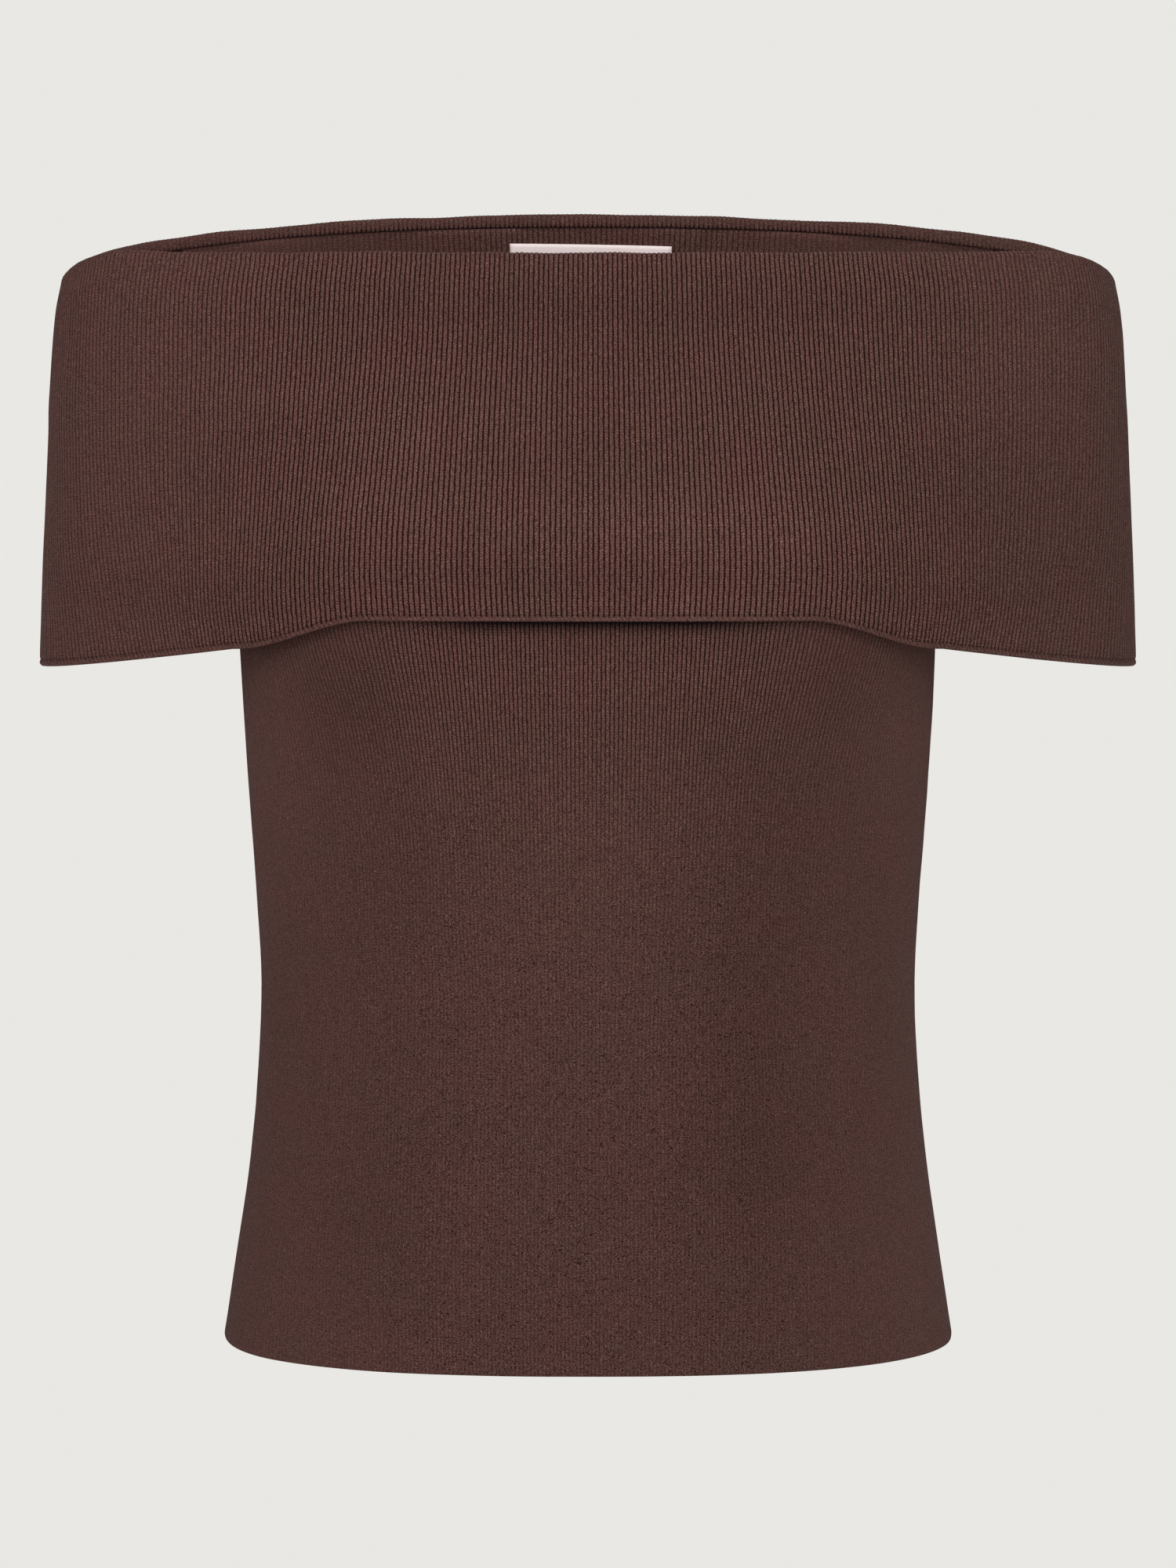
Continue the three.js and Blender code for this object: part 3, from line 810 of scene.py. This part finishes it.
def new_material(name):
    """A material with nothing but a surface shader, its nodes and that shader."""
    material = bpy.data.materials.new(name)
    material.use_nodes = True
    material.node_tree.nodes.clear()
    n = Nodes(material.node_tree)
    surface = n.add("ShaderNodeBsdfPrincipled")
    n.put(surface.outputs[0], n.add("ShaderNodeOutputMaterial").inputs["Surface"])
    return material, n, surface


def knit_material(name, ridge, groove, glint, weight):
    """Fine rib knit: light ridges with small stitches, dotted grooves dark with painted shade, and a soft
    heather.
    """
    material, n, surface = new_material(name)
    rib, stitch, _ = n.split(n.add("ShaderNodeUVMap", uv_map="knit").outputs[0])
    place = n.add("ShaderNodeTexCoord").outputs["Object"]
    strength, grain, shade = n.attribute("rib_strength"), n.attribute("grain"), n.attribute("shade")

    # Ribs wander a little sideways, and no two stitches are quite alike
    wander = n.about_zero(n.noise(place, WANDER_SCALE, 2.0, 0.7), 0.42)
    from_ridge = n.from_middle(n.math("ADD", rib, wander))
    in_groove = n.step(0.48, 0.8, from_ridge)

    # Each stitch on a ridge is a small V, and the groove shows one dark dot for each
    stitch = n.math("ADD", stitch, n.about_zero(n.noise(place, STITCH_SCALE, 2.0), 0.9))
    lean = n.math("MULTIPLY", from_ridge, 0.55)
    between_stitches = n.step(0.4, 1.0, n.from_middle(n.math("ADD", stitch, lean)))
    leg_gap = n.step(0.16, 0.0, from_ridge)
    dot = n.step(0.35, 0.95, n.from_middle(stitch))

    # Yarn of two close browns in broad patches, with painted glints on its fibres
    fibre = n.noise(place, FIBRE_SCALE, 2.0, 0.7)
    heather = n.noise(place, HEATHER_SCALE, 2.0, 0.6)
    patches = n.noise(place, PATCH_SCALE, 4.0, 0.62)
    to_right = n.math("MULTIPLY", n.split(place)[0], 0.4)
    patches = n.step(0.28, 0.72, n.math("ADD", patches, to_right))
    lighter = n.mix(patches, linear(*ridge[0]), linear(*ridge[1]))
    darker = n.mix(patches, linear(*groove[0]), linear(*groove[1]))
    glints = n.math("MULTIPLY", n.step(0.52, 0.72, fibre), 0.5)
    lighter = n.mix(glints, lighter, linear(*glint))

    # Stitches, dots, dark pits and fine speckles over the ridges and grooves, fainter where the ribs are
    seen = n.math("MULTIPLY", between_stitches, 0.42)
    seen_stitches = n.math("ADD", seen, n.math("MULTIPLY", leg_gap, 0.2))
    ridge_colour = n.mix(n.math("MULTIPLY", seen_stitches, strength), lighter, darker)
    groove_colour = n.mix(n.math("MULTIPLY", dot, 0.2), darker, lighter)
    # The grooves take the colour of the yarn darkened by painted shade, less of it where the ribs are calm
    depth = n.math("MULTIPLY", in_groove, n.step(0.1, 1.0, strength, 0.12, 1.0))
    colour = n.mix(depth, ridge_colour, groove_colour)
    pits = n.math("MULTIPLY", n.step(0.52, 0.34, heather, 0.0, 0.85), grain)
    colour = n.mix(pits, colour, darker)
    speckle = n.math("ADD", n.math("MULTIPLY", n.step(0.34, 0.66, fibre, -0.4, 0.44), grain), 1.0)
    # Darker where the ribs are calm, and the shade attribute's painted shadows, shade and highlights, on the
    # whole colour
    calm_and_painted_shade = n.math("MULTIPLY", n.step(0.1, 1.0, strength, 0.64, 1.0), shade)
    tone = n.math("MULTIPLY", speckle, calm_and_painted_shade)
    grey = n.add("ShaderNodeCombineColor")
    for socket in grey.inputs[:3]:
        n.put(tone, socket)
    n.put(n.mix(1.0, colour, grey.outputs[0], "MULTIPLY"), surface.inputs["Base Color"])

    n.put(n.step(0.2, 0.8, fibre, 0.84, 0.97), surface.inputs["Roughness"])
    surface.inputs["Specular IOR Level"].default_value = 0.1
    surface.inputs["Sheen Weight"].default_value = weight
    surface.inputs["Sheen Roughness"].default_value = 0.45
    surface.inputs["Sheen Tint"].default_value = (0.62, 0.46, 0.42, 1.0)

    on_ridge = n.math("SUBTRACT", 1.0, in_groove)
    stitches = n.math("MULTIPLY", n.math("SUBTRACT", 1.0, between_stitches), on_ridge)
    height = n.math("ADD", n.math("MULTIPLY", stitches, 0.7), n.math("MULTIPLY", fibre, 0.45))
    n.bump(height, 0.55, 0.00022, surface)
    return material


def satin_material():
    """Pale pink woven satin: fine lengthwise threads crossed by finer ones."""
    material, n, surface = new_material("pink_satin")
    across, along, _ = n.split(n.add("ShaderNodeUVMap", uv_map="knit").outputs[0])
    place = n.add("ShaderNodeTexCoord").outputs["Object"]
    warp = n.math("SINE", n.math("MULTIPLY", across, 2 * math.pi / WARP_PITCH))
    weft = n.math("SINE", n.math("MULTIPLY", along, 2 * math.pi / WEFT_PITCH))
    cross = n.math("ADD", n.math("MULTIPLY", warp, 0.5), n.math("MULTIPLY", weft, 0.5))
    colour = n.mix(n.step(-1.0, 1.0, cross), linear(246, 226, 227), linear(255, 243, 243))
    soft = n.mix(n.step(0.3, 0.7, n.noise(place, SATIN_SCALE)), colour, linear(252, 236, 237))
    n.put(n.mix(0.35, colour, soft), surface.inputs["Base Color"])
    n.put(n.step(-1.0, 1.0, cross, 0.5, 0.38), surface.inputs["Roughness"])
    surface.inputs["Sheen Weight"].default_value = 0.1
    n.bump(cross, 0.4, 0.0001, surface)
    return material


def area_light(name, at, aim, size, watts, colour):
    light = bpy.data.lights.new(name, "AREA")
    light.shape = "DISK"
    light.size = size
    light.energy = watts
    light.color = colour
    obj = bpy.data.objects.new(name, light)
    obj.location = at
    obj.rotation_mode = "QUATERNION"
    obj.rotation_quaternion = (Vector(aim) - Vector(at)).to_track_quat("-Z", "Y")
    bpy.context.collection.objects.link(obj)


def studio():
    """A pale floor far below, an even pale surround, and the soft lights."""
    scene = bpy.context.scene
    scene.view_settings.view_transform = "Standard"
    scene.view_settings.look = "None"
    world = bpy.data.worlds.new("studio")
    scene.world = world
    world.use_nodes = True
    tree = world.node_tree
    tree.nodes.clear()
    n = Nodes(tree)
    lit = n.add("ShaderNodeBackground")
    lit.inputs["Color"].default_value = SURROUND_COLOUR
    lit.inputs["Strength"].default_value = SURROUND_STRENGTH
    seen = n.add("ShaderNodeBackground")
    seen.inputs["Color"].default_value = linear(*PAPER)
    mix = n.add("ShaderNodeMixShader")
    n.put(n.add("ShaderNodeLightPath").outputs["Is Camera Ray"], mix.inputs[0])
    n.put(lit.outputs[0], mix.inputs[1])
    n.put(seen.outputs[0], mix.inputs[2])
    n.put(mix.outputs[0], n.add("ShaderNodeOutputWorld").inputs["Surface"])

    floor_mesh = bpy.data.meshes.new("floor")
    half = FLOOR_HALF
    corners = [(x, y, FLOOR_HEIGHT) for x, y in ((-half, -half), (half, -half), (half, half), (-half, half))]
    floor_mesh.from_pydata(corners, [], [(0, 1, 2, 3)])
    floor = bpy.data.objects.new("floor", floor_mesh)
    bpy.context.collection.objects.link(floor)
    paper = bpy.data.materials.new("pale_paper")
    paper.use_nodes = True
    paper.node_tree.nodes.clear()
    p = Nodes(paper.node_tree)
    glow = p.add("ShaderNodeEmission")
    glow.inputs["Color"].default_value = linear(*PAPER)
    p.put(glow.outputs[0], p.add("ShaderNodeOutputMaterial").inputs["Surface"])
    floor_mesh.materials.append(paper)

    for name, at, size, watts, colour in LIGHTS:
        area_light(name, at, LIGHTS_AIM, size, watts, colour)


def camera():
    data = bpy.data.cameras.new("camera")
    data.sensor_width = CAMERA_SENSOR
    data.lens = CAMERA_LENS
    obj = bpy.data.objects.new("camera", data)
    obj.location = CAMERA_AT
    obj.rotation_mode = "QUATERNION"
    obj.rotation_quaternion = (Vector(CAMERA_AIM) - obj.location).to_track_quat("-Z", "Y")
    bpy.context.collection.objects.link(obj)
    bpy.context.scene.camera = obj


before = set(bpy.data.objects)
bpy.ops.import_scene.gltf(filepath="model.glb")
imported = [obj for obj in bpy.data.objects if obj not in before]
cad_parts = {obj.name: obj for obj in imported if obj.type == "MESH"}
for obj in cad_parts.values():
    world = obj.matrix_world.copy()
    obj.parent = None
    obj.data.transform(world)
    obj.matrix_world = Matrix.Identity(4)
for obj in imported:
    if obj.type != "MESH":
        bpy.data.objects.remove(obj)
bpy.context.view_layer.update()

brown_knit = knit_material("brown_rib_knit", BROWN_RIDGE, BROWN_SHADED_GROOVE, BROWN_GLINT, KNIT_SHEEN)
pink_satin = satin_material()

front_collar = collar_panel("front_collar_knit", FRONT, 11, FRONT_COLLAR_CREASES, FRONT_COLLAR_PAINTED_LIGHT)
back_collar = collar_panel("back_collar_knit", BACK, 23, BACK_COLLAR_CREASES, BACK_COLLAR_PAINTED_LIGHT)
front_body = body_panel("front_body_knit", FRONT, 37, FRONT_BODY_CREASES, FRONT_BODY_PAINTED_LIGHT)
back_body = body_panel("back_body_knit", BACK, 53, BACK_BODY_CREASES, BACK_BODY_PAINTED_LIGHT)
label = label_panel()

for panel in (front_collar, back_collar, front_body, back_body):
    panel.data.materials.append(brown_knit)
    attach(panel, "root")
label.data.materials.append(pink_satin)
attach(label, "root")

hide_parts("front_collar")
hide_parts("back_collar")
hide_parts("front_body")
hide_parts("back_body")
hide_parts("label")

studio()
camera()
